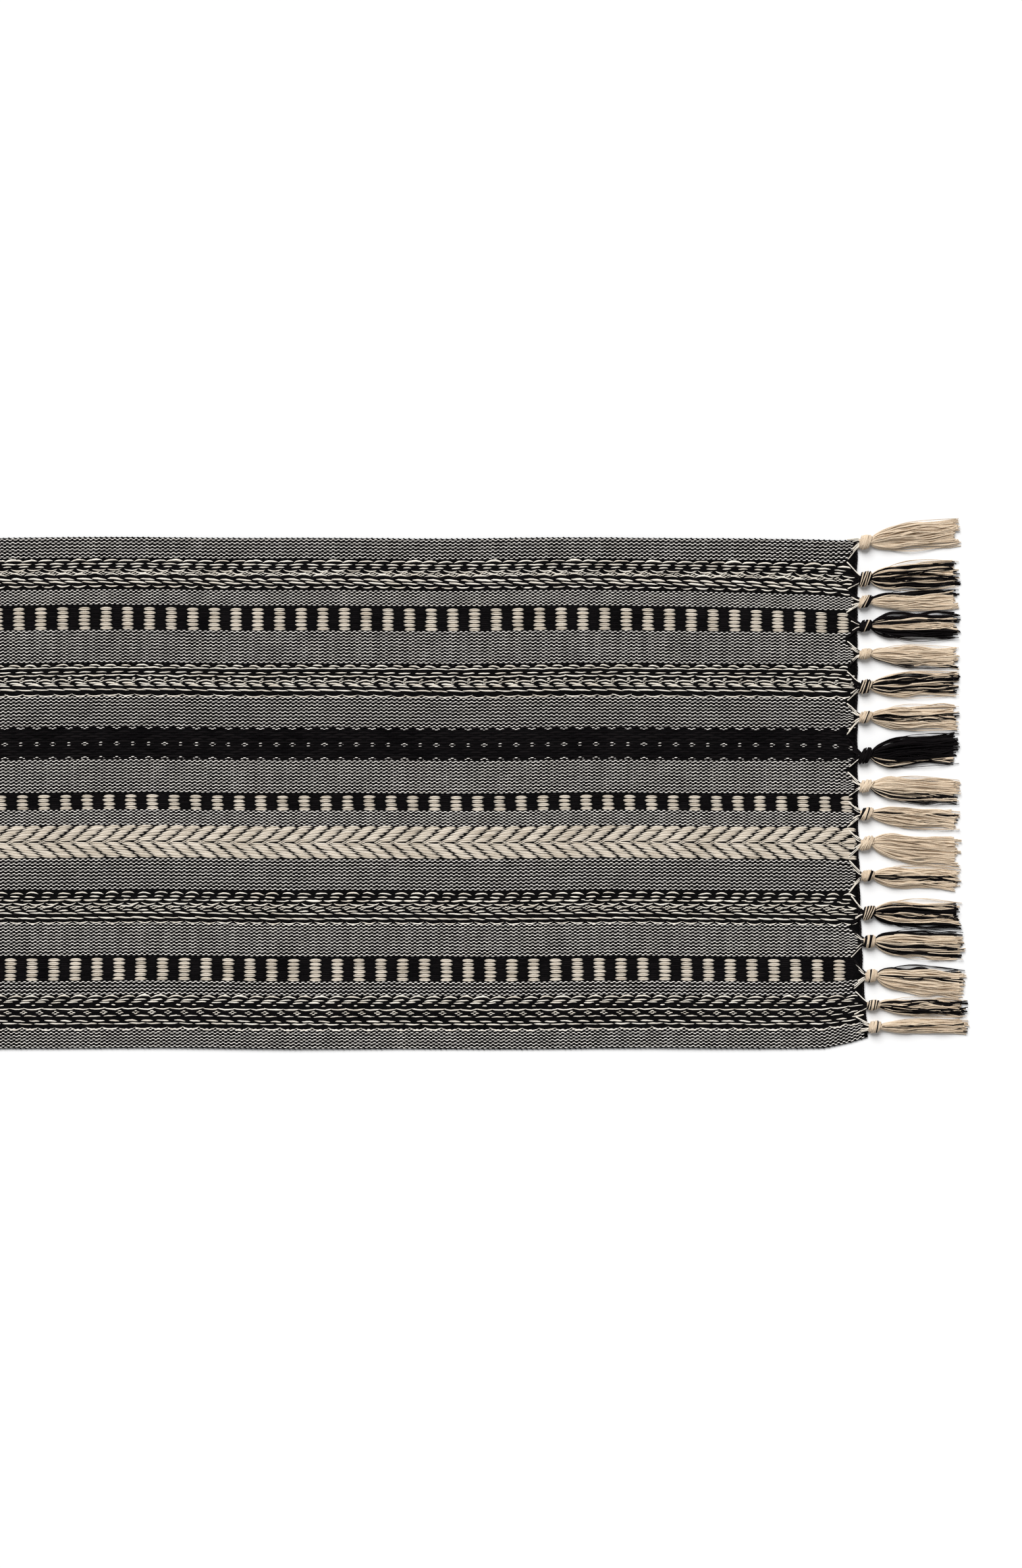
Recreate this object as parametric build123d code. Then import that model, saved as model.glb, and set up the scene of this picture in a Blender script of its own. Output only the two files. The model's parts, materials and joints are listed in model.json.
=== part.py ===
from build123d import *
import os

# A flat-woven cotton runner rug, laid flat on the floor. The warp runs along X and is cut and
# knotted into tassels at both ends. Z = 0 is the floor, and the origin is the middle of the
# underside. The rug looks the same when it is turned half round about Z.

# ---- Driving dimensions, in millimetres ----
CLOTH_WIDTH = 610.0
CLOTH_HALF_LENGTH = 911.0  # to the end of the cloth at its square corner
END_DRIFT = 13.5  # how much further the weave runs at the other corner
CORNER_PULL_IN = 12.0  # how far that corner is drawn in by its tassel
CORNER_PULL_LENGTH = 55.0  # the length of selvedge that is drawn in
GROUND_THICKNESS = 2.6  # plain weave
BAND_THICKNESS = 3.0  # patterned weave, with floats on its face
GATHER_LENGTH = 8.0  # the last stretch, where the warp ends slant into the knots

FRINGE_LENGTH = 124.0  # from the end of the cloth to the tips of the tassels
HINGE_GAP = 0.4  # from the cloth to the root of a tassel
ROOT_RADIUS = 1.2  # the rolled root that a tassel bends about
ROOT_WIDTH = 6.0
KNOT_STANDOFF = 2.1  # from the bending axis to the knot, so the knot clears the cloth
KNOT_LENGTH = 14.0
KNOT_HEIGHT = 12.0
KNOT_EDGE_RADIUS = 4.5
SKIRT_NECK = 9.0  # width of a skirt where it leaves its knot
SKIRT_HEIGHTS = (6.0, 9.0, 7.5, 4.0)  # at the knot, the belly, two thirds along and the tip
SKIRT_PLACES = (0.0, 0.25, 0.65, 1.0)  # the same stations, as shares of the skirt's length

# The stripes from the far selvedge (+Y) to the near one: name and width across the rug.
STRIPES = (
    ("ground_stripe_01", 25),
    ("chain_band_01", 37),
    ("ground_stripe_02", 19),
    ("block_band_01", 29),
    ("ground_stripe_03", 40),
    ("chain_band_02", 39),
    ("ground_stripe_04", 37),
    ("black_band", 39),
    ("ground_stripe_05", 40),
    ("block_band_02", 20),
    ("ground_stripe_06", 19),
    ("chevron_band", 39),
    ("ground_stripe_07", 38),
    ("chain_band_03", 39),
    ("ground_stripe_08", 40),
    ("block_band_03", 29),
    ("ground_stripe_09", 18),
    ("chain_band_04", 39),
    ("ground_stripe_10", 24),
)

# The tassels of one end, from +Y to -Y: where the knot is, how wide it is, where the middle
# of the skirt's tip lies, and how wide the tip is.
TASSELS = (
    (300.0, 18.0, 313.0, 34.0),
    (256.0, 19.0, 262.0, 33.0),
    (229.0, 16.0, 232.0, 24.0),
    (200.0, 15.0, 201.5, 34.0),
    (166.5, 13.5, 162.5, 25.0),
    (127.5, 17.5, 131.5, 30.0),
    (91.0, 15.0, 90.0, 30.0),
    (45.0, 20.0, 53.5, 39.0),
    (8.5, 16.0, 1.0, 32.0),
    (-24.5, 16.0, -32.0, 24.0),
    (-59.5, 18.0, -70.0, 36.0),
    (-98.5, 14.0, -103.0, 27.0),
    (-143.0, 17.5, -147.0, 34.0),
    (-177.0, 16.0, -182.5, 35.0),
    (-218.0, 16.0, -228.0, 35.0),
    (-253.0, 13.0, -257.0, 20.0),
    (-279.0, 15.0, -279.5, 17.0),
)

HALF_WIDTH = CLOTH_WIDTH / 2
HALF_TURN = Rotation(0, 0, 180)
REACH = 2 * CLOTH_HALF_LENGTH  # longer than the rug, for the boxes that cut it


def end_x(y):
    """X of the front end of the cloth at a place across its width."""
    share = (HALF_WIDTH - y) / CLOTH_WIDTH
    return CLOTH_HALF_LENGTH + END_DRIFT * share**4


def outline():
    """The cloth's outline seen from above: two slanting ends, and a drawn-in corner at each."""
    corner_y = CORNER_PULL_IN - HALF_WIDTH
    across = [HALF_WIDTH - step * CLOTH_WIDTH / 5 for step in range(5)]
    end_points = [(end_x(y), y) for y in across] + [(end_x(corner_y), corner_y)]
    end = Spline(end_points)
    selvedge_start = (end_x(corner_y) - CORNER_PULL_LENGTH, -HALF_WIDTH)
    corner = Bezier(end_points[-1], (end_points[-1][0] - 10, -HALF_WIDTH), selvedge_start)
    selvedge = Line(selvedge_start, (-CLOTH_HALF_LENGTH, -HALF_WIDTH))
    half = [end, corner, selvedge]
    return make_face(half + [HALF_TURN * edge for edge in half])


def woven_cloth(thickness):
    return extrude(outline(), thickness)


def stripe(y_low, width, thickness):
    """One stripe of the weave, without the gathered stretches at the two ends."""
    cloth = woven_cloth(thickness)
    strip = Pos(0, y_low + width / 2, thickness / 2) * Box(REACH, width, thickness)
    short = (Pos(-GATHER_LENGTH, 0, 0) * cloth) & (Pos(GATHER_LENGTH, 0, 0) * cloth)
    return strip & short


def gathered_warp():
    """The last stretch of the front end, where the warp ends leave the weave for the knots."""
    cloth = woven_cloth(GROUND_THICKNESS)
    front = Pos(REACH / 2, 0, GROUND_THICKNESS / 2) * Box(REACH, CLOTH_WIDTH, GROUND_THICKNESS)
    return (cloth & front) - Pos(-GATHER_LENGTH, 0, 0) * cloth


def hinge_x(y):
    """X of the line that a front tassel bends about."""
    return end_x(y) + HINGE_GAP + ROOT_RADIUS


def knot(y, width):
    """The overhand knot, with the short root that joins it to the cloth."""
    root_z = GROUND_THICKNESS / 2
    axis_x = hinge_x(y)
    knot_start = axis_x + KNOT_STANDOFF
    ball = fillet(Box(KNOT_LENGTH, width, KNOT_HEIGHT).edges(), KNOT_EDGE_RADIUS)
    ball = Pos(knot_start + KNOT_LENGTH / 2, y, KNOT_HEIGHT / 2) * ball
    roll = Pos(axis_x, y, root_z) * Rotation(90, 0, 0) * Cylinder(ROOT_RADIUS, ROOT_WIDTH)
    neck_length = KNOT_STANDOFF + KNOT_EDGE_RADIUS
    neck = Box(neck_length, ROOT_WIDTH, 2 * ROOT_RADIUS)
    return ball + roll + Pos(axis_x + neck_length / 2, y, root_z) * neck


def skirt(y, tip_y, tip_width):
    """The loose yarns below the knot, as one soft tapering solid lying on the floor."""
    start_x = hinge_x(y) + KNOT_STANDOFF + KNOT_LENGTH
    length = end_x(y) + FRINGE_LENGTH - start_x
    widths = (SKIRT_NECK, 0.85 * tip_width, tip_width, 0.9 * tip_width)
    sections = []
    for place, width, height in zip(SKIRT_PLACES, widths, SKIRT_HEIGHTS):
        middle = y + (tip_y - y) * place**0.7
        plane = Plane((start_x + place * length, middle, height / 2), x_dir=(0, 1, 0), z_dir=(1, 0, 0))
        sections.append(plane * RectangleRounded(width, height, 0.45 * height))
    return loft(sections, ruled=True)


os.makedirs("parts", exist_ok=True)


def save(name, *solids):
    export_step(Compound(children=list(solids)), f"parts/{name}.step")


edge_y = HALF_WIDTH
for stripe_name, stripe_width in STRIPES:
    edge_y -= stripe_width
    is_ground = stripe_name.startswith("ground")
    save(stripe_name, stripe(edge_y, stripe_width, GROUND_THICKNESS if is_ground else BAND_THICKNESS))

front_gather = gathered_warp()
save("gathered_warp_front", front_gather)
save("gathered_warp_rear", HALF_TURN * front_gather)

for number, (knot_y, knot_width, skirt_tip_y, skirt_tip_width) in enumerate(TASSELS, start=1):
    front = (knot(knot_y, knot_width), skirt(knot_y, skirt_tip_y, skirt_tip_width))
    save(f"front_tassel_{number:02d}", *front)
    save(f"rear_tassel_{number:02d}", *[HALF_TURN * solid for solid in front])
    print(f"front tassel {number:02d} bends about x = {hinge_x(knot_y):.2f}, y = {knot_y:.1f}")
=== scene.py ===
# %% [markdown]
# # A flat-woven runner rug
# The rug is a long cotton cloth, black and cream, that lies flat on the floor. Its warp yarns run the
# whole length, show on the face as patterned stripes, and are knotted into tassels at both ends. This
# lesson starts from a measured frame of plain solids and covers each one with real yarns.

# %% Load the frame
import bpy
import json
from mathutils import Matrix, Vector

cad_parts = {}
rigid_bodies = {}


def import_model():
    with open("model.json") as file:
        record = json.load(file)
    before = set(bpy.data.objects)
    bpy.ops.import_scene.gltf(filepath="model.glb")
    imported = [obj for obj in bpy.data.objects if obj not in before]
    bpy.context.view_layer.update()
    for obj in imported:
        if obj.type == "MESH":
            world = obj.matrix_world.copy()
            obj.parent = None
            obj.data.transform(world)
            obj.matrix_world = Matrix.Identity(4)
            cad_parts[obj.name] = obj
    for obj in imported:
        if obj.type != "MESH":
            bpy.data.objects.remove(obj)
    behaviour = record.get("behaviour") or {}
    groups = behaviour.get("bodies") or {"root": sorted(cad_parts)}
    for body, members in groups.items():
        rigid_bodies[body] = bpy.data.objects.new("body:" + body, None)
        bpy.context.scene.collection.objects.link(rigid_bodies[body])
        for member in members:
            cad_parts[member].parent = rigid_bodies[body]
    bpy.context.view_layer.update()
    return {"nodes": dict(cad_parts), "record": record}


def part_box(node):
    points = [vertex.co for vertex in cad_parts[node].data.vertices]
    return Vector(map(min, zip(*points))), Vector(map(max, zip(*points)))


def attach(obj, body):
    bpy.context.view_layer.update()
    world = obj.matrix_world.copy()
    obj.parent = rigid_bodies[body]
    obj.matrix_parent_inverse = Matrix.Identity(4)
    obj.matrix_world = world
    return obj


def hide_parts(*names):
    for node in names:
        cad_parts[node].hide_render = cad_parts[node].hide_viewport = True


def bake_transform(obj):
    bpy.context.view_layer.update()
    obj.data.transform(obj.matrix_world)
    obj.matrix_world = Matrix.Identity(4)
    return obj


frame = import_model()

# %% Tools and small helpers
import json
import math
import random
import bpy
from mathutils import Vector

MM = 0.001


def pick_only(*pieces):
    """Selects these pieces and nothing else, because an operator acts on all that is selected."""
    bpy.ops.object.select_all(action="DESELECT")
    for piece in pieces:
        piece.select_set(True)
    bpy.context.view_layer.objects.active = pieces[0]


def modify(piece, kind, **settings):
    """Adds a modifier, sets it and applies it, so that its shape becomes the mesh."""
    modifier = piece.modifiers.new(kind.lower(), kind)
    for setting, value in settings.items():
        setattr(modifier, setting, value)
    pick_only(piece)
    bpy.ops.object.modifier_apply(modifier=modifier.name)


def join(pieces, name):
    pick_only(*pieces)
    if len(pieces) > 1:
        bpy.ops.object.join()
    joined = bpy.context.view_layer.objects.active
    joined.name = joined.data.name = name
    return joined


# %% [markdown]
# ## Where things are
# Every size comes from the frame. The joints say where each tassel leaves the cloth, so they also say
# where the cloth ends: the end isn't square, and runs a little further out at one corner.

# %% Read the layout from the frame
ROOT_OFFSET = 1.6 * MM  # from the end of the cloth to the line that a tassel bends about
joints = frame["record"]["behaviour"]["joints"]
bends = {joint["child"]: Vector(joint["pos_m"]) for joint in joints}
front_names = sorted(name for name in bends if name.startswith("front"))
rear_names = sorted(name for name in bends if name.startswith("rear"))
stripe_boxes = {
    node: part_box(node) for node in frame["nodes"] if "stripe" in node or "band" in node
}
stripe_names = sorted(stripe_boxes, key=lambda node: -stripe_boxes[node][1].y)
half_width = stripe_boxes[stripe_names[0]][1].y
cloth_half = min(bends[name].x for name in front_names) - ROOT_OFFSET
print(len(stripe_names), "stripes across", round(2 * half_width, 3), "m")


def end_x(y):
    """How far the cloth runs at the front end, at a place across its width."""
    known = sorted((bends[name].y, bends[name].x - ROOT_OFFSET) for name in front_names)
    if y <= known[0][0]:
        (y0, x0), (y1, x1) = known[:2]
        return x0 + (x1 - x0) * (y - y0) / (y1 - y0)
    for (y0, x0), (y1, x1) in zip(known, known[1:]):
        if y <= y1:
            return x0 + (x1 - x0) * (y - y0) / (y1 - y0)
    return known[-1][1]


# %% [markdown]
# ## Cotton yarn
# Matt cotton is rough, soft at its edges and never one flat colour: fibres lie along the yarn, dye and
# dirt vary slowly over the cloth, and no two yarns match. A Principled surface with high roughness, two
# sizes of noise in its colour, a small shift for each yarn and a fine bump gives that. On the cream, a
# little sheen stands for the fuzz of fibre ends.

# %% Make the cotton finishes


def cotton(name, colour, deep, patch=0.05, fibre=0.0006, sheen=0.15, bump=0.25, gloss=0.2):
    """A matt cotton that varies between two colours, in patches and in fibres of these sizes."""
    material = bpy.data.materials.new(name)
    material.use_nodes = True
    nodes, links = material.node_tree.nodes, material.node_tree.links
    shader = nodes["Principled BSDF"]
    shader.inputs["Roughness"].default_value = 0.9
    shader.inputs["Specular IOR Level"].default_value = gloss
    shader.inputs["Sheen Weight"].default_value = sheen
    shader.inputs["Sheen Roughness"].default_value = 0.6
    place = nodes.new("ShaderNodeTexCoord")
    along = nodes.new("ShaderNodeMapping")
    along.inputs["Scale"].default_value = (0.35, 1.0, 1.0)
    links.new(place.outputs["Object"], along.inputs["Vector"])
    slow = nodes.new("ShaderNodeTexNoise")
    slow.inputs["Scale"].default_value = 1 / patch
    slow.inputs["Detail"].default_value = 3
    links.new(place.outputs["Object"], slow.inputs["Vector"])
    fine = nodes.new("ShaderNodeTexNoise")
    fine.inputs["Scale"].default_value = 1 / fibre
    fine.inputs["Detail"].default_value = 2
    links.new(along.outputs["Vector"], fine.inputs["Vector"])
    each_yarn = nodes.new("ShaderNodeNewGeometry")
    total = None
    for source, weight in ((fine.outputs["Fac"], 0.5), (slow.outputs["Fac"], 0.3),
                           (each_yarn.outputs["Random Per Island"], 0.2)):
        share = nodes.new("ShaderNodeMath")
        share.operation = "MULTIPLY_ADD"
        share.inputs[1].default_value = weight
        share.inputs[2].default_value = 0.0
        links.new(source, share.inputs[0])
        if total:
            links.new(total, share.inputs[2])
        total = share.outputs["Value"]
    ramp = nodes.new("ShaderNodeValToRGB")
    ramp.color_ramp.elements[0].position = 0.34
    ramp.color_ramp.elements[0].color = (*deep, 1)
    ramp.color_ramp.elements[1].position = 0.60
    ramp.color_ramp.elements[1].color = (*colour, 1)
    links.new(total, ramp.inputs["Fac"])
    links.new(ramp.outputs["Color"], shader.inputs["Base Color"])
    relief = nodes.new("ShaderNodeBump")
    relief.inputs["Strength"].default_value = bump
    relief.inputs["Distance"].default_value = 0.3 * MM
    links.new(fine.outputs["Fac"], relief.inputs["Height"])
    links.new(relief.outputs["Normal"], shader.inputs["Normal"])
    material.diffuse_color = (*colour, 1)
    return material


# The short dashes of plain weave are the same cream yarn as the floats; their lighter cream is a painted
# highlight.
cream_weave = cotton("cream_weave_yarn", (0.98, 0.94, 0.89), (0.88, 0.83, 0.76))
cream_chain = cotton("cream_chain_yarn", (0.90, 0.85, 0.76), (0.66, 0.59, 0.49))
cream_float = cotton("cream_float_yarn", (0.735, 0.66, 0.56), (0.50, 0.43, 0.34))
cream_tassel = cotton("cream_tassel_yarn", (0.74, 0.61, 0.46), (0.48, 0.36, 0.245))
black_yarn = cotton("black_yarn", (0.010, 0.0085, 0.009), (0.003, 0.0025, 0.003), sheen=0.0, gloss=0.0)
black_ground = cotton(
    "black_weft_ground", (0.006, 0.0055, 0.006), (0.002, 0.002, 0.002), sheen=0.0, gloss=0.0
)
finishes = (cream_weave, cream_chain, cream_float, cream_tassel, black_yarn, black_ground)
print("cotton finishes:", [finish.name for finish in finishes])

# %% [markdown]
# ## One float of yarn
# A float is a short length of yarn that lies on the face between two picks: thin where it dives under
# the weft at both ends, and full in the middle. It starts as a small filled circle that is extruded
# from ring to ring, the way a stalk is drawn out of a bud. Four sides are enough for a yarn 2 mm wide,
# and three for the short dashes of plain weave.

# %% Draw a float out of a circle
FULLNESS = 0.6  # a lower power keeps more of a float at its full width
DIVE = 0.35  # how far its tips sink, as a share of its height


def draw_out(name, rings, sides=4):
    """A closed spindle through rings of (x, y, z, half width, half height), along X."""
    x, y, z, half_w, half_h = rings[0]
    bpy.ops.mesh.primitive_circle_add(
        vertices=sides, radius=1, fill_type="NGON", location=(x, y, z),
        rotation=(math.pi / 2, 0, math.pi / 2),
    )
    piece = bpy.context.object
    bpy.ops.object.transform_apply(location=True, rotation=True, scale=True)
    bpy.ops.object.mode_set(mode="EDIT")
    bpy.ops.mesh.select_all(action="SELECT")
    bpy.ops.transform.resize(value=(1, half_w, half_h), center_override=(x, y, z))
    for next_x, next_y, next_z, next_w, next_h in rings[1:]:
        step = (next_x - x, next_y - y, next_z - z)
        bpy.ops.mesh.extrude_region_move(TRANSFORM_OT_translate={"value": step})
        x, y, z = next_x, next_y, next_z
        bpy.ops.transform.resize(value=(1, next_w / half_w, next_h / half_h), center_override=(x, y, z))
        half_w, half_h = next_w, next_h
    bpy.ops.mesh.select_all(action="SELECT")
    bpy.ops.mesh.normals_make_consistent(inside=False)
    bpy.ops.object.mode_set(mode="OBJECT")
    piece.name = name
    return piece


def float_of_yarn(length, width, height, z, x, y, blunt, bow=0.0, slant=0.0, sides=4, steps=3):
    """A float with its middle at (x, y). bow moves its middle across the rug, and slant its far end.

    blunt is the size of its tips, as a share of its middle.
    """
    rings = []
    for step in range(steps + 1):
        share = step / steps
        full = math.sin(math.pi * share) ** FULLNESS if 0 < share < 1 else 0
        swell = blunt + (1 - blunt) * full
        across = y + bow * (1 - (2 * share - 1) ** 2) + slant * (share - 0.5)
        dive = DIVE * height * (1 - full)
        along = x + length * (share - 0.5)
        rings.append((along, across, z - dive, 0.5 * width * swell, 0.5 * height * swell))
    return draw_out("float", rings, sides)


# %% [markdown]
# ## Repeats
# The loom repeats its pattern every six picks of weft, and about every eight in the block bands. So one
# repeat is modelled, five times with small differences, and an Array modifier carries it along the rug.
# Without those differences the eye finds the copy at once, because handmade cloth never repeats exactly.

# %% Set the pick spacing and the repeat helpers
GATHER_LENGTH = 4 * MM  # the last stretch, where the warp leaves the weave
CHAIN_REPEATS = 95
BLOCK_REPEATS = 70
woven_start = -(cloth_half - GATHER_LENGTH)
woven_length = -2 * woven_start
pick = woven_length / (CHAIN_REPEATS * 6)
chain_length, block_length = woven_length / CHAIN_REPEATS, woven_length / BLOCK_REPEATS
FACE_Z = 1.9 * MM  # the height that floats lie at
VARIANTS = 5  # how many different repeats are modelled before the Array carries them on
LONGER, WIDER = 1.08, 1.12  # a float thins out at its tips, so it is made larger than its draft
LAST_FLOAT = 2.5 * MM  # from the end of the cloth to the end of the last float
chance = random.Random(7)
print("one pick every", round(pick / MM, 2), "mm")


def repeat(piece, count, step):
    modify(
        piece, "ARRAY", count=count, use_relative_offset=False, use_constant_offset=True,
        constant_offset_displace=step,
    )


def varied(value, share):
    """The value, up to this share larger or smaller."""
    return value * (1 + share * chance.uniform(-1, 1))


def float_row(y, phase, length, width, repeat_length, height=1.7 * MM, bow=0.0, slant=0.0, blunt=0.5,
              steps=5, sides=4, z=FACE_Z, loose=0.07):
    """One line of floats along the whole weave. phase and length are shares of a repeat."""
    floats = []
    for number in range(VARIANTS):
        middle = woven_start + (number + phase % 1 + loose * chance.uniform(-0.5, 0.5)) * repeat_length
        floats.append(float_of_yarn(
            varied(LONGER * length * repeat_length, loose), varied(WIDER * width, 2 * loose), height,
            z + 0.15 * MM * chance.uniform(-1, 1), x=middle, y=y + loose * 3 * MM * chance.uniform(-1, 1),
            bow=varied(bow, 3 * loose), slant=slant + loose * 6 * MM * chance.uniform(-1, 1),
            sides=sides, steps=steps, blunt=blunt,
        ))
    row = join(floats, "row")
    repeat(row, round(woven_length / repeat_length) // VARIANTS, (VARIANTS * repeat_length, 0, 0))
    for side in (1, -1):  # nothing runs past the woven end
        bpy.ops.object.mode_set(mode="EDIT")
        bpy.ops.mesh.select_all(action="SELECT")
        bpy.ops.mesh.bisect(
            plane_co=(side * (cloth_half - LAST_FLOAT), 0, 0), plane_no=(side, 0, 0), use_fill=True,
            clear_outer=True,
        )
        bpy.ops.object.mode_set(mode="OBJECT")
    return row


def dash_tile(places, repeats, step, name):
    """Plain-weave dashes at (along, across) places, carried along the rug."""
    dashes = []
    for along, across in places:
        dashes.append(float_of_yarn(
            varied(1.42 * pick, 0.08), varied(2.05 * MM, 0.08), 1.5 * MM, FACE_Z, x=woven_start + along,
            y=across + 0.14 * MM * chance.uniform(-1, 1), slant=(0.2 + 0.2 * chance.uniform(-1, 1)) * MM,
            sides=3, blunt=0.72,
        ))
    tile = join(dashes, name)
    repeat(tile, repeats, (step, 0, 0))
    return tile


# %% [markdown]
# ## How the cloth lies
# A flat-woven rug never lies perfectly true: its selvedges wander by a millimetre or two, one corner of
# each end is drawn in by its last tassel, the stripes drift a little near the end, and the cloth keeps a
# faint ripple. A Lattice cage holds all of that once. Each part of the weave is bent by the same cage,
# so the yarns stay on their cloth.

# %% Build the cage that lays the cloth
CORNER_PULL_IN = 17 * MM
CORNER_PULL_LENGTH = 60 * MM
CORNER_START = 0.19  # metres from the middle line, where the pull of the corner starts
DRIFT_LENGTH = 0.4  # metres before the end, over which the stripes drift
STRIPE_DRIFT = 2.5  # millimetres that every stripe drifts at the end
MOST_DRIFT, MOST_PLACE, MOST_SPREAD = 6, 0.245, 0.045  # more millimetres, near one line of the cloth
CALM_LENGTH = 0.25  # metres before the end, over which the ripple dies away
CAGE_LENGTH, CAGE_WIDTH, CAGE_HEIGHT = 1.9, 0.64, 0.02


def laid(x, y, z):
    """Where a point of the straight, flat cloth comes to lie. The rear is the front turned round."""
    side = 1 if x >= 0 else -1
    u, v = side * x, side * y
    reach = end_x(v)
    to_end = reach * (1 - u / cloth_half)
    pull = max(0.0, 1 - max(0.0, to_end) / CORNER_PULL_LENGTH) ** 2
    near_corner = min(1.0, max(0.0, (-v - CORNER_START) / (half_width - CORNER_START)))
    near_end = max(0.0, 1 - max(0.0, to_end) / DRIFT_LENGTH) ** 2
    new_v = v + CORNER_PULL_IN * pull * near_corner**1.5
    drift = STRIPE_DRIFT + MOST_DRIFT * math.exp(-(((v - MOST_PLACE) / MOST_SPREAD) ** 2))
    new_v -= drift * MM * near_end * (1 - near_corner)
    new_y = side * new_v + (0.7 * math.sin(9 * x + 1.3) + 0.4 * math.sin(23 * x + 0.4 + 3 * y)) * MM
    calm = min(1.0, max(0.0, to_end) / CALM_LENGTH)
    ripple = 0.9 + 0.5 * math.sin(11 * x + 2 * y) + 0.4 * math.sin(5.3 * x - 7 * y + 1)
    return side * (reach - to_end), new_y, z + calm * ripple * MM


bpy.ops.object.add(type="LATTICE")
cage = bpy.context.object
cage.scale = (CAGE_LENGTH, CAGE_WIDTH, CAGE_HEIGHT)
cage.data.points_u, cage.data.points_v, cage.data.points_w = 64, 33, 2
cage.data.interpolation_type_u = cage.data.interpolation_type_v = "KEY_LINEAR"
cage.data.interpolation_type_w = "KEY_LINEAR"
for point in cage.data.points:
    x, y, z = laid(point.co.x * CAGE_LENGTH, point.co.y * CAGE_WIDTH, point.co.z * CAGE_HEIGHT)
    point.co_deform = (x / CAGE_LENGTH, y / CAGE_WIDTH, z / CAGE_HEIGHT)
bpy.context.view_layer.update()
corner = laid(cloth_half, -half_width, 0.0)
print("the drawn-in corner lies at", [round(value, 3) for value in corner])

# %% [markdown]
# Close to each end the warp already runs towards the knots, so the rows of the weave crowd together
# in front of a knot and spread apart between two knots. A finer cage, 60 mm long, does that for the front
# end, and another, turned half round, does it for the rear end.

# %% Build the cages that draw the ends towards the knots
END_CAGE_LENGTH = 0.06
END_CAGE_PAST = 0.015  # how far it reaches past the end of the cloth
DRAW_LENGTH = 0.04  # the rows are drawn together over this length before the end
DRAW = 0.55  # how much closer the rows lie in front of a knot
knot_places = sorted(bends[name].y for name in front_names)
gaps = [(low + high) / 2 for low, high in zip(knot_places, knot_places[1:])]
fan_edges = [-half_width + CORNER_PULL_IN, *gaps, half_width]


def drawn(x, y):
    """How far across the rug the warp is drawn at a place near the front end."""
    number = min(len(knot_places) - 1, sum(y > gap for gap in gaps))
    knot = knot_places[number]
    room = abs(fan_edges[number + (y > knot)] - knot)
    near = max(0.0, 1 - max(0.0, end_x(y) - x) / DRAW_LENGTH) ** 1.6
    share = min(1.0, abs(y - knot) / room)
    return math.copysign(DRAW * near * math.sin(math.pi * share) / math.pi * room, knot - y)


end_cages = []
for turned in (0, math.pi):
    bpy.ops.object.add(type="LATTICE")
    end_cage = bpy.context.object
    middle = cloth_half + END_CAGE_PAST - END_CAGE_LENGTH / 2
    end_cage.rotation_euler = (0, 0, turned)
    end_cage.location = (middle * math.cos(turned), 0, 0)
    end_cage.scale = (END_CAGE_LENGTH, CAGE_WIDTH, CAGE_HEIGHT)
    end_cage.data.points_u, end_cage.data.points_v, end_cage.data.points_w = 9, 64, 2
    end_cage.data.interpolation_type_u = end_cage.data.interpolation_type_v = "KEY_LINEAR"
    end_cage.data.interpolation_type_w = "KEY_LINEAR"
    for point in end_cage.data.points:
        x, y = middle + point.co.x * END_CAGE_LENGTH, point.co.y * CAGE_WIDTH
        point.co_deform = (point.co.x, (y + drawn(x, y)) / CAGE_WIDTH, point.co.z)
    end_cages.append(end_cage)
bpy.context.view_layer.update()
print(len(end_cages), "end cages over", len(gaps), "gaps between knots")


# %% Small helpers for the cloth's pieces
NOTCH_SEARCH = 0.012  # only this much of each end is looked at
NOTCH_LENGTH = 0.0105  # from the point of a notch to the end of the cloth
NOTCH_HALF_WIDTH, NOTCH_WIDE_AT = 0.0055, 0.0065  # half its width, at this far from its point


def jitter(piece, axis, size, amount):
    """Small wandering moves along one axis, from a cloud of noise."""
    clouds = bpy.data.textures.get(f"clouds_{size}") or bpy.data.textures.new(f"clouds_{size}", "CLOUDS")
    clouds.noise_scale = size
    clouds.noise_depth = 1
    modify(
        piece, "DISPLACE", texture=clouds, texture_coords="LOCAL", direction=axis, mid_level=0.5,
        strength=amount,
    )


def open_notches(piece):
    """Deletes the dashes between two knots, where the last of the warp has already left the weave."""
    pick_only(piece)
    bpy.ops.object.mode_set(mode="EDIT")
    bpy.ops.mesh.select_all(action="DESELECT")
    bpy.ops.object.mode_set(mode="OBJECT")
    for vertex in piece.data.vertices:
        side = 1 if vertex.co.x > 0 else -1
        x, y = side * vertex.co.x, side * vertex.co.y
        if x > cloth_half - NOTCH_SEARCH:
            depth = x - (end_x(y) - NOTCH_LENGTH)
            off_line = min(abs(y - gap) for gap in gaps)
            vertex.select = depth > 0 and off_line < NOTCH_HALF_WIDTH * (depth / NOTCH_WIDE_AT) ** 0.5
    bpy.ops.object.mode_set(mode="EDIT")
    bpy.ops.mesh.select_linked()
    bpy.ops.mesh.delete(type="VERT")
    bpy.ops.object.mode_set(mode="OBJECT")


def lay(piece, finish, slot_name, *nodes):
    """Bends a part of the weave with the cages, gives it its finish and lets it ride on the cloth."""
    modify(piece, "LATTICE", object=cage)
    if piece.name.endswith("_warp"):
        open_notches(piece)
    for end_cage in end_cages:
        modify(piece, "LATTICE", object=end_cage)
    pick_only(piece)
    bpy.ops.object.shade_smooth()
    piece.data.materials.clear()
    piece.data.materials.append(finish)
    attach(piece, "cloth")
    if nodes:
        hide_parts(*nodes)
    print(piece.name, len(piece.data.polygons), "faces")


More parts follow.
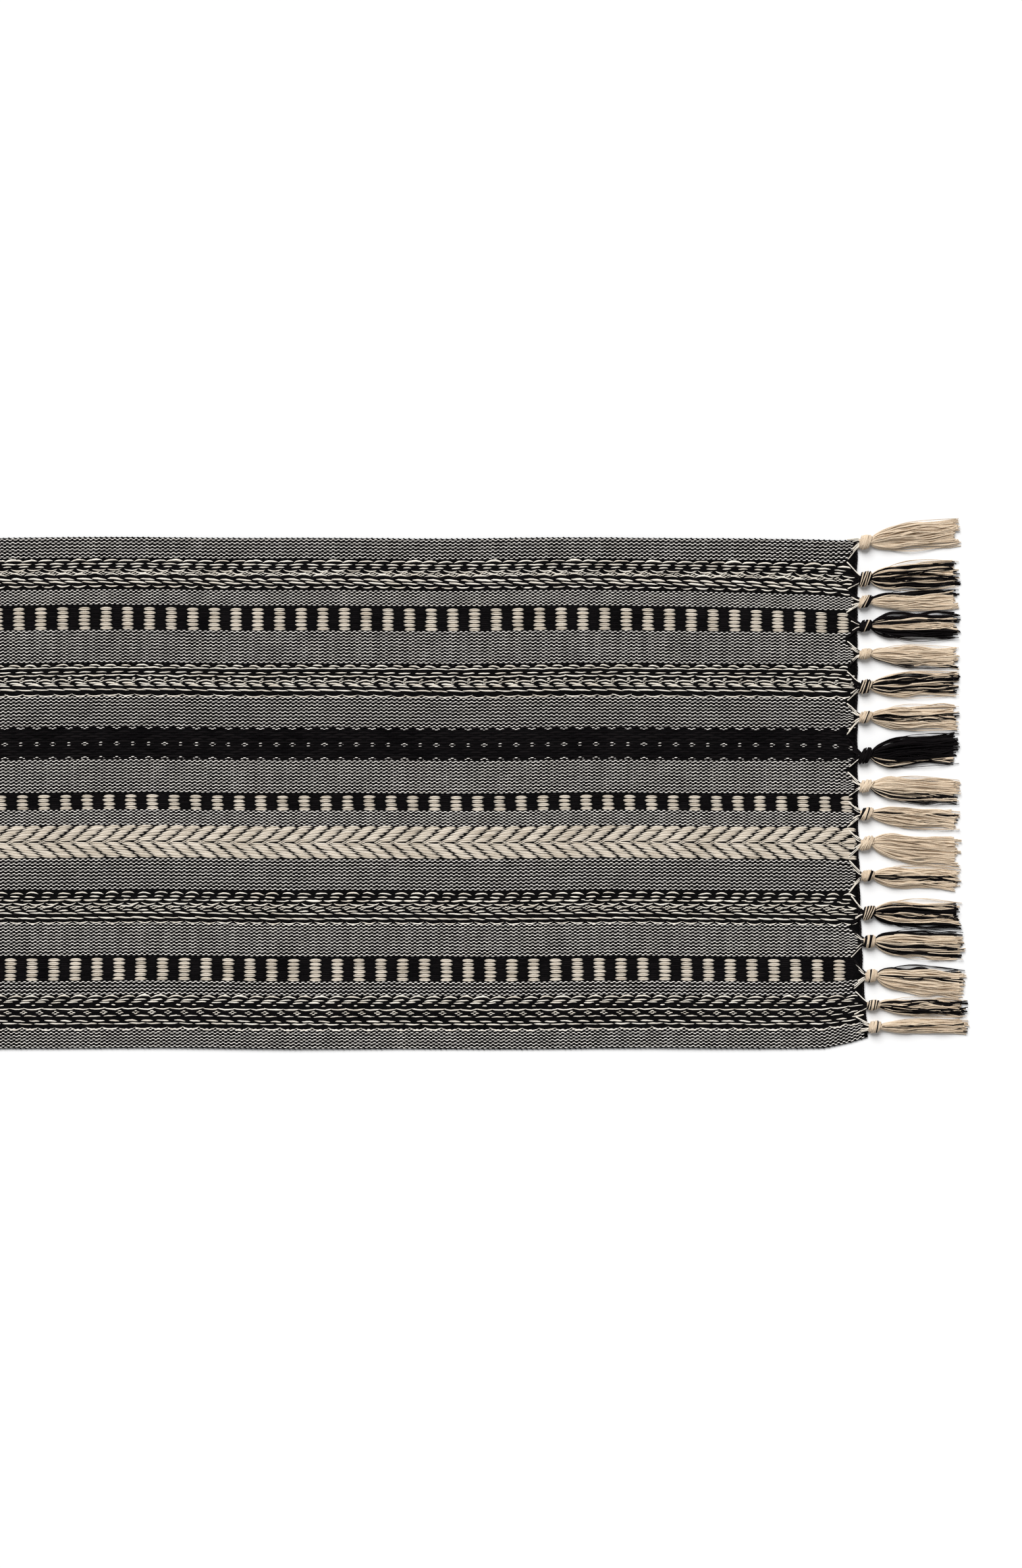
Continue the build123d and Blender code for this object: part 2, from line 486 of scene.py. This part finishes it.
# %% [markdown]
# ## The cloth under the floats
# Behind every float there is black: the weft and the black warp. One continuous sheet stands for them,
# from end to end and selvedge to selvedge. It is a grid, given its thickness by Solidify, and roughened
# by noise so that the edges and the low light of a side view don't show a ruled slab.

# %% Weave the base sheet
SHEET_THICKNESS = 1.7 * MM
SHEET_BOTTOM = 0.25 * MM
bpy.ops.mesh.primitive_grid_add(
    x_subdivisions=200, y_subdivisions=64, size=1, location=(0, 0, SHEET_BOTTOM + SHEET_THICKNESS / 2)
)
base = bpy.context.object
base.name = "woven_base"
base.scale = (2 * cloth_half, 2 * half_width, 1)
bpy.ops.object.transform_apply(location=True, rotation=True, scale=True)
modify(base, "SOLIDIFY", thickness=SHEET_THICKNESS, offset=0)
jitter(base, "Z", 0.012, 0.25 * MM)
lay(base, black_ground, "black_cotton", *stripe_names)

# %% [markdown]
# ## The ground stripes
# Plain weave shows each cream yarn for one pick and hides it for the next. Two neighbouring cream yarns
# lie close together, a pick out of step, so their dashes join into a zigzag line, with a black gap
# before the next pair. A tile of ten picks is arrayed along the rug and then across the stripe.

# %% Weave the ground stripes
PAIR_PITCH = 4.04 * MM
PAIR_GAP = 1.5 * MM
TILE_PICKS = 10


def ground_stripe(node):
    low, high = stripe_boxes[node]
    width = high.y - low.y
    pairs = round(width / PAIR_PITCH)
    pitch = width / pairs
    upper = high.y - 0.5 * pitch + 0.5 * PAIR_GAP
    places = [((column + 0.5) * pick, upper - (column % 2) * PAIR_GAP) for column in range(TILE_PICKS)]
    tile = dash_tile(places, CHAIN_REPEATS * 6 // TILE_PICKS, TILE_PICKS * pick, node + "_warp")
    repeat(tile, pairs, (0, -pitch, 0))
    jitter(tile, "Y", 0.03, 1.2 * MM)
    jitter(tile, "Y", 0.006, 0.5 * MM)
    lay(tile, cream_weave, "ground_weave", node)


for stripe_name in stripe_names:
    if "ground" in stripe_name:
        ground_stripe(stripe_name)

# %% [markdown]
# ## The chain bands
# In these bands the cream yarns float over several picks and bend towards each other, so the rows read
# as arches, waves and crossings on black. Each row of the draft gives one line of floats: how far it is
# across the band, where in the repeat its middle is, its length in repeats, how many millimetres its
# middle bows away from the last stripe, how much its far end climbs, and how wide the yarn is.

# %% Write the drafts of the chain bands
CHAIN_DRAFTS = {
    "chain_band_01": (
        (0.105, 0.48, 0.96, 2.0, 1.0, 2.3), (0.185, 0.13, 0.79, 0.0, 0.0, 1.7),
        (0.275, 0.09, 0.54, 0.0, 0.6, 1.6), (0.335, 0.74, 0.80, -2.6, 0.0, 1.6),
        (0.410, 0.46, 0.66, -2.7, 0.0, 1.6), (0.560, 0.54, 0.85, 2.2, 0.0, 1.8),
        (0.680, 0.81, 0.93, 0.4, -2.0, 2.6), (0.780, 0.18, 1.00, 0.0, -2.2, 2.0),
        (0.870, 0.54, 0.75, -2.0, 0.0, 1.7),
    ),
    "chain_band_02": (
        (0.100, 0.47, 0.68, 1.8, -1.0, 1.9), (0.168, 0.12, 1.02, 0.8, 0.0, 1.8),
        (0.280, 0.90, 0.66, 0.0, 0.6, 1.5), (0.350, 0.54, 1.02, -1.9, 0.0, 1.9),
        (0.460, 0.95, 0.20, 0.0, 0.0, 1.5), (0.565, 0.40, 0.82, 2.0, 0.0, 1.7),
        (0.635, 0.60, 0.78, 0.4, -1.8, 2.2), (0.705, 0.76, 0.85, 0.8, -1.0, 1.8),
        (0.820, 0.05, 1.00, 0.0, -1.6, 1.8), (0.940, 0.49, 1.02, -3.0, 0.0, 1.5),
    ),
    "chain_band_03": (
        (0.130, 0.60, 0.75, 2.0, -0.5, 1.9), (0.212, 0.45, 0.60, 0.0, 0.0, 1.7),
        (0.300, 0.19, 0.85, -0.8, 0.4, 2.4), (0.390, 0.86, 0.78, -2.4, 0.0, 1.7),
        (0.460, 0.56, 0.70, -2.4, 0.0, 1.6), (0.630, 0.53, 0.60, 0.3, 0.8, 1.7),
        (0.715, 0.90, 0.90, 0.3, -1.2, 1.8), (0.855, 0.27, 0.97, -0.4, -1.5, 1.8),
        (0.950, 0.58, 0.85, -3.0, 0.0, 1.5),
    ),
    "chain_band_04": (
        (0.090, 0.50, 0.87, 2.8, 0.3, 2.0), (0.150, 0.30, 0.75, 0.3, 1.2, 1.7),
        (0.215, 0.06, 0.66, 0.2, 0.3, 1.7), (0.300, 0.66, 0.25, 0.0, 0.0, 1.5),
        (0.385, 0.63, 1.02, -1.8, 0.0, 1.7), (0.640, 0.45, 0.76, 0.5, 0.3, 1.8),
        (0.785, 0.70, 0.72, 0.0, -0.8, 1.9), (0.860, 0.12, 0.90, -0.6, 0.0, 1.7),
        (0.955, 0.44, 1.02, -4.0, 0.0, 1.6),
    ),
}
DIAMOND_PLACES = {  # how far across the band its line of small diamonds is, and where in the repeat
    "chain_band_01": (0.465, 0.02),
    "chain_band_02": (0.545, 0.90),
    "chain_band_03": (0.545, 0.15),
    "chain_band_04": (0.527, 0.02),
    "black_band": (0.53, 0.86),
}
BLACK_ROWS = (0.035, 0.23, 0.31, 0.50, 0.61, 0.74, 0.91)


def diamonds(node, across, phase):
    """A line of small diamonds, of four dashes each, where plain weave shows between the floats."""
    low, high = stripe_boxes[node]
    y = high.y - across * (high.y - low.y)
    points = ((0, 1.5 * MM), (-0.85 * pick, 0), (0.85 * pick, 0), (0, -1.5 * MM))
    places = []
    for number in range(VARIANTS):
        middle = (number + phase) * chain_length
        places += [(middle + along, y + up) for along, up in points]
    return dash_tile(places, CHAIN_REPEATS // VARIANTS, VARIANTS * chain_length, "diamonds")


# %% Weave the chain bands


def chain_band(node):
    low, high = stripe_boxes[node]
    width = high.y - low.y
    rows = [
        float_row(
            high.y - across * width, phase, 1.1 * length, 0.95 * thick * MM, chain_length, bow=bow * MM,
            slant=slant * MM, blunt=0.62,
        )
        for across, phase, length, bow, slant, thick in CHAIN_DRAFTS[node]
    ]
    cream = join(rows + [diamonds(node, *DIAMOND_PLACES[node])], node + "_cream_floats")
    jitter(cream, "Y", 0.008, 1.7 * MM)
    jitter(cream, "Z", 0.005, 0.6 * MM)
    lay(cream, cream_chain, "cream_cotton", node)
    black_rows = [
        float_row(
            high.y - across * width, chance.random(), 0.98, 2.2 * MM, chain_length,
            z=FACE_Z - 0.35 * MM, steps=3,
        )
        for across in BLACK_ROWS
    ]
    black = join(black_rows, node + "_black_floats")
    jitter(black, "Y", 0.009, 1.3 * MM)
    lay(black, black_yarn, "black_cotton", node)


for band_name in CHAIN_DRAFTS:
    chain_band(band_name)

# %% [markdown]
# ## The block bands
# Here cream and black change places every four picks. The cream floats go in pairs that pinch together
# at both ends, so each row of a block looks like a small leaf, and the black floats fit between them.

# %% Weave the block bands
LEAF_LENGTH = 0.575  # of a repeat
LEAF_PITCH = 4.4 * MM
BLOCK_MARGIN = 1.5 * MM  # the part of the band's width that holds no leaves
BLOCK_PHASES = {"block_band_01": 0.51, "block_band_02": 0.64, "block_band_03": 0.10}


def block_band(node):
    low, high = stripe_boxes[node]
    room = high.y - low.y - BLOCK_MARGIN
    leaves = round(room / LEAF_PITCH)
    step = room / leaves
    cream_rows, black_rows = [], []
    for number in range(leaves):
        y = high.y - 2.2 * MM - (number + 0.5) * step
        phase = BLOCK_PHASES[node] + 0.02 * chance.uniform(-1, 1)
        for side in (1, -1):
            cream_rows.append(float_row(
                y + side * 0.3 * MM, phase, LEAF_LENGTH, 1.9 * MM, block_length, bow=side * 0.72 * MM,
                height=1.9 * MM, loose=0.03,
            ))
            black_rows.append(float_row(
                y + side * 1.1 * MM + step / 4, phase + 0.5, 0.6, 2.4 * MM, block_length,
                z=FACE_Z - 0.3 * MM, steps=3,
            ))
    cream = join(cream_rows, node + "_cream_leaves")
    jitter(cream, "Y", 0.008, 0.7 * MM)
    lay(cream, cream_float, "cream_cotton", node)
    black = join(black_rows, node + "_black_floats")
    jitter(black, "Y", 0.008, 0.7 * MM)
    lay(black, black_yarn, "black_cotton", node)


for stripe_name in stripe_names:
    if "block" in stripe_name:
        block_band(stripe_name)

# %% [markdown]
# ## The chevron band
# Ten rows of paired cream floats make a row of arrowheads. Each row lies a little further along than the
# one nearer the middle, so the ends of the floats make two stairs that meet in a point. The black seen in
# the stairs is the base sheet, and small diamonds of plain weave fill the points along the middle.

# %% Weave the chevron band
CHEVRON_ROWS = (2.2, 5.7, 9.3, 13.0, 16.6)  # millimetres from the middle of the band
CHEVRON_POINT, STAIR = 0.66, 0.24  # in repeats
chevron_low, chevron_high = stripe_boxes["chevron_band"]
chevron_middle = (chevron_low.y + chevron_high.y) / 2
chevron_rows = []
for number, away in enumerate(CHEVRON_ROWS):
    for arm in (1, -1):
        for side in (1, -1):
            chevron_rows.append(float_row(
                chevron_middle + arm * away * MM + side * 0.85 * MM, CHEVRON_POINT + STAIR * number,
                0.91, 2.15 * MM, chain_length, slant=arm * 1.3 * MM, bow=(0.7 * arm + 0.2 * side) * MM,
                height=2.0 * MM, blunt=0.8, loose=0.06,
            ))
diamond_dashes = ((0, 0.9 * MM), (-0.7 * pick, -0.2 * MM), (0.7 * pick, -0.2 * MM), (0, -1.3 * MM))
middle_diamonds = []
for along, across in diamond_dashes:
    for number in range(VARIANTS):
        place = (number + CHEVRON_POINT + 0.5) * chain_length
        middle_diamonds.append((place + along, chevron_middle + across))
chevron_rows.append(
    dash_tile(middle_diamonds, CHAIN_REPEATS // VARIANTS, VARIANTS * chain_length, "points")
)
chevrons = join(chevron_rows, "chevron_floats")
jitter(chevrons, "Y", 0.012, 0.9 * MM)
jitter(chevrons, "Z", 0.006, 0.4 * MM)
lay(chevrons, cream_float, "cream_cotton", "chevron_band")

# %% [markdown]
# ## The black band
# This band is black on black: staggered floats that only their soft relief shows. Cream comes through in
# one line of tiny diamonds, and in small arcs of plain weave that scallop both edges of the band.

# %% Weave the black band
BLACK_ROW_PITCH = 2.9 * MM
black_low, black_high = stripe_boxes["black_band"]
black_rows = []
for number in range(int((black_high.y - black_low.y) / BLACK_ROW_PITCH) + 1):
    y = black_high.y - 0.6 * MM - number * BLACK_ROW_PITCH
    black_rows.append(float_row(
        y, 0.36 + 0.5 * (number % 2), 0.98, 3.3 * MM, chain_length, height=2.2 * MM,
        z=1.7 * MM, steps=4,
    ))
black_floats = join(black_rows, "black_band_floats")
jitter(black_floats, "Y", 0.01, 1.0 * MM)
lay(black_floats, black_yarn, "black_cotton", "black_band")

diamond_line, diamond_phase = DIAMOND_PLACES["black_band"]
scallops = [diamonds("black_band", diamond_line, diamond_phase)]
for edge, bulge in ((black_high.y, -1), (black_low.y, 1)):
    places = []
    for number in range(VARIANTS):
        middle = (number + diamond_phase) * chain_length
        places += [
            (middle, edge + bulge * 2.6 * MM), (middle - pick, edge + bulge * 1.3 * MM),
            (middle + pick, edge + bulge * 1.3 * MM),
        ]
    scallops.append(dash_tile(places, CHAIN_REPEATS // VARIANTS, VARIANTS * chain_length, "arcs"))
scallop_dashes = join(scallops, "black_band_dashes")
jitter(scallop_dashes, "Z", 0.02, 0.1 * MM)
lay(scallop_dashes, cream_weave, "cream_cotton", "black_band")

# %% [markdown]
# ## Selvedges
# Along both sides the black weft turns back round the last warp yarn. Each turn is a small black bump at
# every second pick. They are what keeps the side of the rug from looking cut.

# %% Turn the weft at the selvedges
turns = []
for side in (1, -1):
    bpy.ops.mesh.primitive_ico_sphere_add(
        subdivisions=1, radius=1, scale=(1.6 * MM, 1.1 * MM, 1.1 * MM),
        location=(woven_start + pick, side * (half_width - 0.2 * MM), 1.15 * MM),
    )
    bump = bpy.context.object
    bpy.ops.object.transform_apply(location=True, rotation=True, scale=True)
    repeat(bump, CHAIN_REPEATS * 3, (2 * pick, 0, 0))
    turns.append(bump)
weft_turns = join(turns, "weft_turns")
jitter(weft_turns, "Y", 0.01, 1.0 * MM)
lay(weft_turns, black_ground, "black_cotton")

# %% [markdown]
# ## The ends of the cloth
# After the last pick the warp leaves the weave and is gathered, so the end of the cloth is closed by two
# black weft yarns twisted round each other. They run across the whole end and follow its slight slope.

# %% Twist the edge yarns across both ends
EDGE_STEPS = 300
EDGE_TWIST = 1.6  # how far the two yarns turn round each other in one step, in radians
EDGE_RADIUS = 0.9 * MM


def new_strand(points, thickness, finish_index=0):
    """A smooth yarn through control points, as one NURBS spline of the curve being edited."""
    bpy.ops.curve.primitive_nurbs_path_add(location=(0, 0, 0))
    spline = bpy.context.object.data.splines[-1]
    spline.points.add(max(0, len(points) - len(spline.points)))
    for point, place in zip(spline.points, points):
        point.co = (*place, 1)
        point.radius = thickness / (2 * MM)
    spline.order_u = 4
    spline.use_endpoint_u = True
    spline.material_index = finish_index


def start_yarns(name, finishes):
    """An empty curve with a round bevel, open for editing, that new_strand adds yarns to."""
    bpy.ops.object.select_all(action="DESELECT")
    bpy.ops.curve.primitive_nurbs_path_add(location=(0, 0, 0))
    yarns = bpy.context.object
    yarns.name = name
    yarns.data.dimensions = "3D"
    yarns.data.bevel_depth = MM
    yarns.data.bevel_resolution = 0
    yarns.data.resolution_u = 2
    yarns.data.use_fill_caps = True
    for finish in finishes:
        yarns.data.materials.append(finish)
    bpy.ops.object.mode_set(mode="EDIT")
    bpy.ops.curve.select_all(action="SELECT")
    bpy.ops.curve.delete(type="VERT")
    return yarns


def finish_yarns(yarns):
    """Leaves edit mode and turns the curve into a smooth-shaded mesh."""
    bpy.ops.object.mode_set(mode="OBJECT")
    pick_only(yarns)
    bpy.ops.object.convert(target="MESH")
    bpy.ops.object.shade_smooth()


def edge_yarns(name, side):
    yarns = start_yarns(name, [black_yarn])
    for turn in (0, math.pi):
        points = []
        for step in range(EDGE_STEPS + 1):
            y = (2 * step / EDGE_STEPS - 1) * (half_width - 2 * MM)
            angle = EDGE_TWIST * step + turn
            sway = 0.5 * MM * math.sin(0.37 * step)
            x = cloth_half - 0.8 * MM + EDGE_RADIUS * math.cos(angle) + sway
            points.append(laid(side * x, y, FACE_Z + EDGE_RADIUS * math.sin(angle)))
        new_strand(points, 2.2 * MM)
    finish_yarns(yarns)
    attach(yarns, "cloth")
    return yarns


front_edge = edge_yarns("front_edge_yarns", 1)
rear_edge = edge_yarns("rear_edge_yarns", -1)
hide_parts("gathered_warp_front")
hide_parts("gathered_warp_rear")
print("edge yarns", len(front_edge.data.polygons), "faces each")

# %% [markdown]
# ## The tassels
# Each tassel is the warp of a few centimetres of cloth, gathered in a fan, knotted and left loose. Which
# colours it holds depends on the stripes it comes from, so each has a recipe, written from its +Y edge
# to its -Y edge: c for cream yarns and b for black. Every yarn is its own curve: a fan of yarns from the
# cloth into the knot, loops stacked round the knot, and a skirt of loose yarns that spreads after it.

# %% Write the recipe of each tassel
RECIPES = (
    "cccccccccccccccc", "cbbcbbcbcbbbcbbc", "bbbbcccccccccccc", "bbbbcbbccccbbbbb", "cccccccccccccbcb",
    "cbbcbbbcbbbcbbcc", "ccccccbbcbcccccc", "bbbbbbbbbbbbbbcb", "ccccccccccbcbbcb", "ccccbccccbcccccc",
    "cccccccccccccccc", "ccccccbbcbbccccc", "ccbcbbbcbbcccbbb", "bbcccccbcbbccbbc", "bcccccbccccccccc",
    "cbbcbbcbbcbbcbbc", "ccccccbcccccbccc",
)
LOOPS = (
    "ccccccccc", "bcbcbcbcb", "ccccbcbbb", "bbbbbcbbb", "ccccccccc", "bcbcbbcbc", "cccccbccc", "bbbbbbbbb",
    "ccccccccc", "bbcccbccc", "ccccccccc", "ccccccbbc", "bcbcbcbcb", "bbccbbccc", "cccbccccc", "bcbccbcbc",
    "ccccccbcc",
)
SKIRT_YARNS = 60
BUNDLE = 5  # yarns that were plied together and still wave together
FILLERS = 7
STRAYS = 3
FAN_YARNS = 16
LOOP_STEPS = 10
YARN = 1.35 * MM
HIDDEN = 3 * MM  # how far a skirt yarn starts inside the knot
CREAM, BLACK, PALE = 0, 1, 2  # the finishes of a tassel, in order
row_places = {
    1: sorted(bends[name].y for name in front_names),
    -1: sorted(bends[name].y for name in rear_names),
}
recipe_places = sorted((bends[name].y, number) for number, name in enumerate(front_names))


def recipe_number(y):
    """The recipe for the warp at this place across the cloth."""
    return min(recipe_places, key=lambda place: abs(place[0] - y))[1]


print(len(RECIPES), "recipes for", len(bends), "tassels")


# %% Measure one tassel


class Tassel:
    """A tassel's place and size, measured on its plain solid, with its colours and its own luck."""

    def __init__(self, name, side):
        self.side, self.bend = side, bends[name]
        places = [vertex.co for vertex in frame["nodes"][name].data.vertices]
        end = max(side * place.x for place in places)
        tip = [place.y for place in places if side * place.x > end - 3 * MM]
        knot = [place.y for place in places if side * place.x < side * self.bend.x + 15 * MM]
        self.knot_y, self.knot_half = (max(knot) + min(knot)) / 2, (max(knot) - min(knot)) / 2
        self.tip_y, self.tip_half = (max(tip) + min(tip)) / 2, (max(tip) - min(tip)) / 2
        self.reach = end - side * self.bend.x
        self.neck = 0.4 * self.knot_half
        number = recipe_number(self.bend.y)
        self.recipe, self.loops = RECIPES[number], LOOPS[number]
        self.luck = random.Random(name)

    def at(self, from_bend, y, z):
        """A point this far from the line that the tassel bends about."""
        return self.bend.x + self.side * from_bend, y, z

    def middle(self, share):
        """The middle of the skirt, which leans to one side as it runs out."""
        return self.knot_y + (self.tip_y - self.knot_y) * share**0.7

    def half(self, share, opened=0.24):
        """Half the skirt's width. It widens from the neck and is fully open at this share."""
        return self.neck + (self.tip_half - self.neck) * min(1.0, share / opened) ** 0.55

    def finish_at(self, across):
        """The finish of the yarn at a place across the tassel: 1 is its +Y edge and -1 its -Y edge."""
        place = min(len(self.recipe) - 1, int((1 - across) * len(self.recipe) / 2))
        return CREAM if self.recipe[place] == "c" else BLACK


KNOT_START, KNOT_END = 1.0 * MM, 16.5 * MM  # measured from the bend
SKIRT_PLACES = (0.0, 0.05, 0.12, 0.22, 0.33, 0.44, 0.55, 0.66, 0.77, 0.88, 1.0)
SKIRT_TOPS = ((0.0, 8.0), (0.25, 9.0), (0.65, 7.5), (1.0, 4.2))  # share of its length, millimetres


def skirt_height(share):
    """The height of the skirt's top, which swells after the knot and settles towards the tips."""
    for (s0, h0), (s1, h1) in zip(SKIRT_TOPS, SKIRT_TOPS[1:]):
        if share <= s1:
            return (h0 + (h1 - h0) * (share - s0) / (s1 - s0)) * MM


# %% Lay the yarns of the skirt


def skirt_yarns(tassel):
    luck = tassel.luck
    for strand in range(SKIRT_YARNS):
        if strand % BUNDLE == 0:
            bundle_wave, bundle_phase = luck.uniform(0.5, 2.4) * MM, luck.uniform(0, 6.28)
            bundle_pace, bundle_reach = luck.uniform(5, 13), luck.uniform(0.9, 1.0)
        across = max(-1.0, min(1.0, -1 + 2 * (strand + luck.uniform(-1.2, 2.2)) / SKIRT_YARNS))
        layer = luck.random() ** 0.6
        length = (tassel.reach - KNOT_END) * bundle_reach * luck.uniform(0.96, 1.01)
        swing, crimp = luck.uniform(-2.6, 2.6) * MM, luck.uniform(0, 6.28)
        points = []
        for share in SKIRT_PLACES:
            loose = min(1.0, share / 0.25)
            wave = bundle_wave * math.sin(bundle_pace * share + bundle_phase)
            wave += 0.7 * MM * math.sin(24 * share + crimp) + swing * share**2
            y = tassel.middle(share) + across * (tassel.half(share) - YARN / 2)
            y += (wave + luck.uniform(-1, 1) * MM) * loose
            top = skirt_height(share) * math.sqrt(max(0.0, 1 - 0.8 * across**2))
            z = YARN / 2 + layer * (top - YARN)
            z += 0.8 * MM * (math.sin(9 * share + 5 * crimp) + luck.uniform(-1, 1)) * loose
            if share == 0:
                y = tassel.knot_y + 0.6 * across * tassel.neck
                z = 5.5 * MM + (layer - 0.5) * 4 * MM
            along = KNOT_END - HIDDEN + share * (length + HIDDEN)
            points.append(tassel.at(along, y, max(z, YARN / 2)))
        new_strand(points, YARN * luck.uniform(0.85, 1.1), tassel.finish_at(across))


def filler_yarns(tassel):
    """Thicker yarns low in the skirt, so that the floor doesn't show through it."""
    for number in range(FILLERS):
        across = -0.75 + 0.25 * number
        points = []
        for share in SKIRT_PLACES[::2]:
            y = tassel.middle(share) + across * (tassel.half(share) - 2 * MM) * min(1.0, 0.5 + 2 * share)
            along = KNOT_END - HIDDEN + share * (tassel.reach - KNOT_END - 6 * MM)
            points.append(tassel.at(along, y, 2.1 * MM + 3 * MM * (1 - share) ** 3))
        new_strand(points, 3.6 * MM, tassel.finish_at(across))


def stray_yarns(tassel):
    """A few thin yarns that leave the skirt."""
    luck = tassel.luck
    for _ in range(STRAYS):
        edge = luck.choice((-1, 1))
        out = luck.uniform(1.5, 5) * MM
        points = []
        for share in (0.0, 0.15, 0.35, 0.55, 0.75, 0.9, 1.0):
            away = out * math.sin(3.1 * share) * luck.uniform(0.5, 1.1)
            y = tassel.middle(share) + edge * (tassel.half(share, 0.35) + away)
            along = KNOT_END + share * (tassel.reach - KNOT_END) * 0.98
            points.append(tassel.at(along, y, luck.uniform(1, 4) * MM))
        new_strand(points, 0.7 * MM, tassel.finish_at(edge))


# %% Run the fan of warp into the knot and wind the knot


def fan_yarns(tassel):
    """The warp of half the way to the next tassel on each side, or of all the way to the selvedge."""
    luck, bend, side, knot_y = tassel.luck, tassel.bend, tassel.side, tassel.knot_y
    places = [side * (-half_width + CORNER_PULL_IN), side * half_width]
    places += [(one + two) / 2 for one, two in zip(row_places[side], row_places[side][1:])]
    low_y = max(place for place in places if place < bend.y)
    high_y = min(place for place in places if place > bend.y)
    for strand in range(FAN_YARNS):
        side_share = (strand // 2 + luck.uniform(0.2, 0.8)) / (FAN_YARNS // 2)
        share = (1 - 0.85 * side_share**1.2) * (1 if strand % 2 else -1)
        room = (high_y - bend.y if share > 0 else bend.y - low_y) - 1.5 * MM
        is_black = strand // 2 % 3 == 1 or tassel.finish_at(share) == BLACK
        start, into = bend.y + share * room, knot_y + share * tassel.knot_half * 0.55
        depth = ROOT_OFFSET + (3.5 + 8 * abs(share) ** 1.5 + luck.uniform(-1, 1)) * MM
        points = [
            tassel.at(-depth, start, 1.8 * MM),
            tassel.at(-depth + 1.5 * MM, start + (into - start) * 0.08, 3 * MM),
            tassel.at(-0.45 * depth - 0.8 * MM, start + (into - start) * 0.5, 3.4 * MM),
            tassel.at(-ROOT_OFFSET + 0.3 * MM, start + (into - start) * 0.88, 3.8 * MM),
            tassel.at(KNOT_START, into, 4 * MM + luck.uniform(-1, 1.5) * MM),
            tassel.at(KNOT_START + 5 * MM, knot_y, 5 * MM),
        ]
        new_strand(points, 1.75 * MM, BLACK if is_black else PALE)


def knot_yarns(tassel):
    """The loops of the knot, tilted, over a thick core."""
    luck, loops = tassel.luck, tassel.loops
    core_places = (KNOT_START, 5 * MM, 9 * MM, 13 * MM, KNOT_END)
    core = [tassel.at(along, tassel.knot_y, 5.6 * MM) for along in core_places]
    new_strand(core, 7.5 * MM, BLACK if loops.count("b") > len(loops) // 2 else CREAM)
    tilt = luck.uniform(0.2, 0.65)
    for turn, letter in enumerate(loops):
        share = (turn + 0.5) / len(loops)
        round_off = math.sin(math.pi * (0.14 + 0.72 * share)) ** 0.35
        half_y = (tassel.knot_half - 0.7 * MM) * round_off
        half_z = 4.7 * MM * round_off
        centre = KNOT_START + 1.0 * MM + share * (KNOT_END - KNOT_START - 3 * MM)
        lean = tilt * luck.uniform(0.6, 1.4)
        points = []
        for step in range(LOOP_STEPS + 1):
            angle = 2 * math.pi * step / LOOP_STEPS + turn
            y = half_y * math.cos(angle)
            z = half_z * math.sin(angle)
            along = centre + lean * y * 0.8 + 0.15 * MM * luck.uniform(-1, 1)
            points.append(tassel.at(along, tassel.knot_y + 1.08 * y, 5.7 * MM + 1.08 * z))
        new_strand(points, 1.9 * MM, CREAM if letter == "c" else BLACK)


# %% Make all the tassels


def make_tassel(name, side):
    tassel = Tassel(name, side)
    piece = start_yarns(name + "_yarns", [cream_tassel, black_yarn, cream_chain])
    skirt_yarns(tassel)
    filler_yarns(tassel)
    stray_yarns(tassel)
    fan_yarns(tassel)
    knot_yarns(tassel)
    finish_yarns(piece)
    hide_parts(name)
    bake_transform(piece)
    return piece


tassels = [make_tassel(name, 1) for name in front_names] + [make_tassel(name, -1) for name in rear_names]
most_faces = max(len(piece.data.polygons) for piece in tassels)
print(len(tassels), "tassels, the largest with", most_faces, "faces")

# %% Remove the cages
for used_cage in (cage, *end_cages):
    bpy.data.objects.remove(used_cage)

# %% [markdown]
# ## Floor, light and camera
# The rug lies on a plain near-white floor, and the camera looks straight down at it from a good height.
# One wide, soft light leans over it from the far left, so each yarn and tassel throws a short, soft
# shadow towards the near right. The white surroundings fill the rest.

# %% Set the floor, the light and the camera
bpy.ops.mesh.primitive_plane_add(size=80, location=(0, 0, -0.0002))
floor = bpy.context.object
floor.name = "floor"
paper = bpy.data.materials.new("pale_floor")
paper.use_nodes = True
surface = paper.node_tree.nodes["Principled BSDF"]
surface.inputs["Base Color"].default_value = (0.93, 0.93, 0.93, 1)
surface.inputs["Roughness"].default_value = 1.0
surface.inputs["Specular IOR Level"].default_value = 0.0
floor.data.materials.append(paper)

world = bpy.data.worlds.new("soft_room")
world.use_nodes = True
world.node_tree.nodes["Background"].inputs["Color"].default_value = (1, 1, 1, 1)
world.node_tree.nodes["Background"].inputs["Strength"].default_value = 0.28
bpy.context.scene.world = world

bpy.ops.object.light_add(type="SUN", location=(-1, 3, 3.2))
window = bpy.context.object
window.name = "window_light"
window.data.energy = 3.65
window.data.angle = math.radians(42)
window.rotation_euler = Vector((0.35, -1.0, -1.06)).to_track_quat("-Z", "Y").to_euler()

FLOOR_SEEN = 1.8754  # metres of floor along the long side of the view
LENS, SENSOR = 85, 36  # millimetres
bpy.ops.object.camera_add(location=(0.4974, 0.011, FLOOR_SEEN * LENS / SENSOR), rotation=(0, 0, 0))
camera = bpy.context.object
camera.data.lens = LENS
camera.data.sensor_width = SENSOR
camera.data.clip_start, camera.data.clip_end = 0.05, 100
bpy.context.scene.camera = camera
bpy.context.scene.view_settings.view_transform = "Standard"
print("the camera is", round(camera.location.z, 2), "metres above the floor")
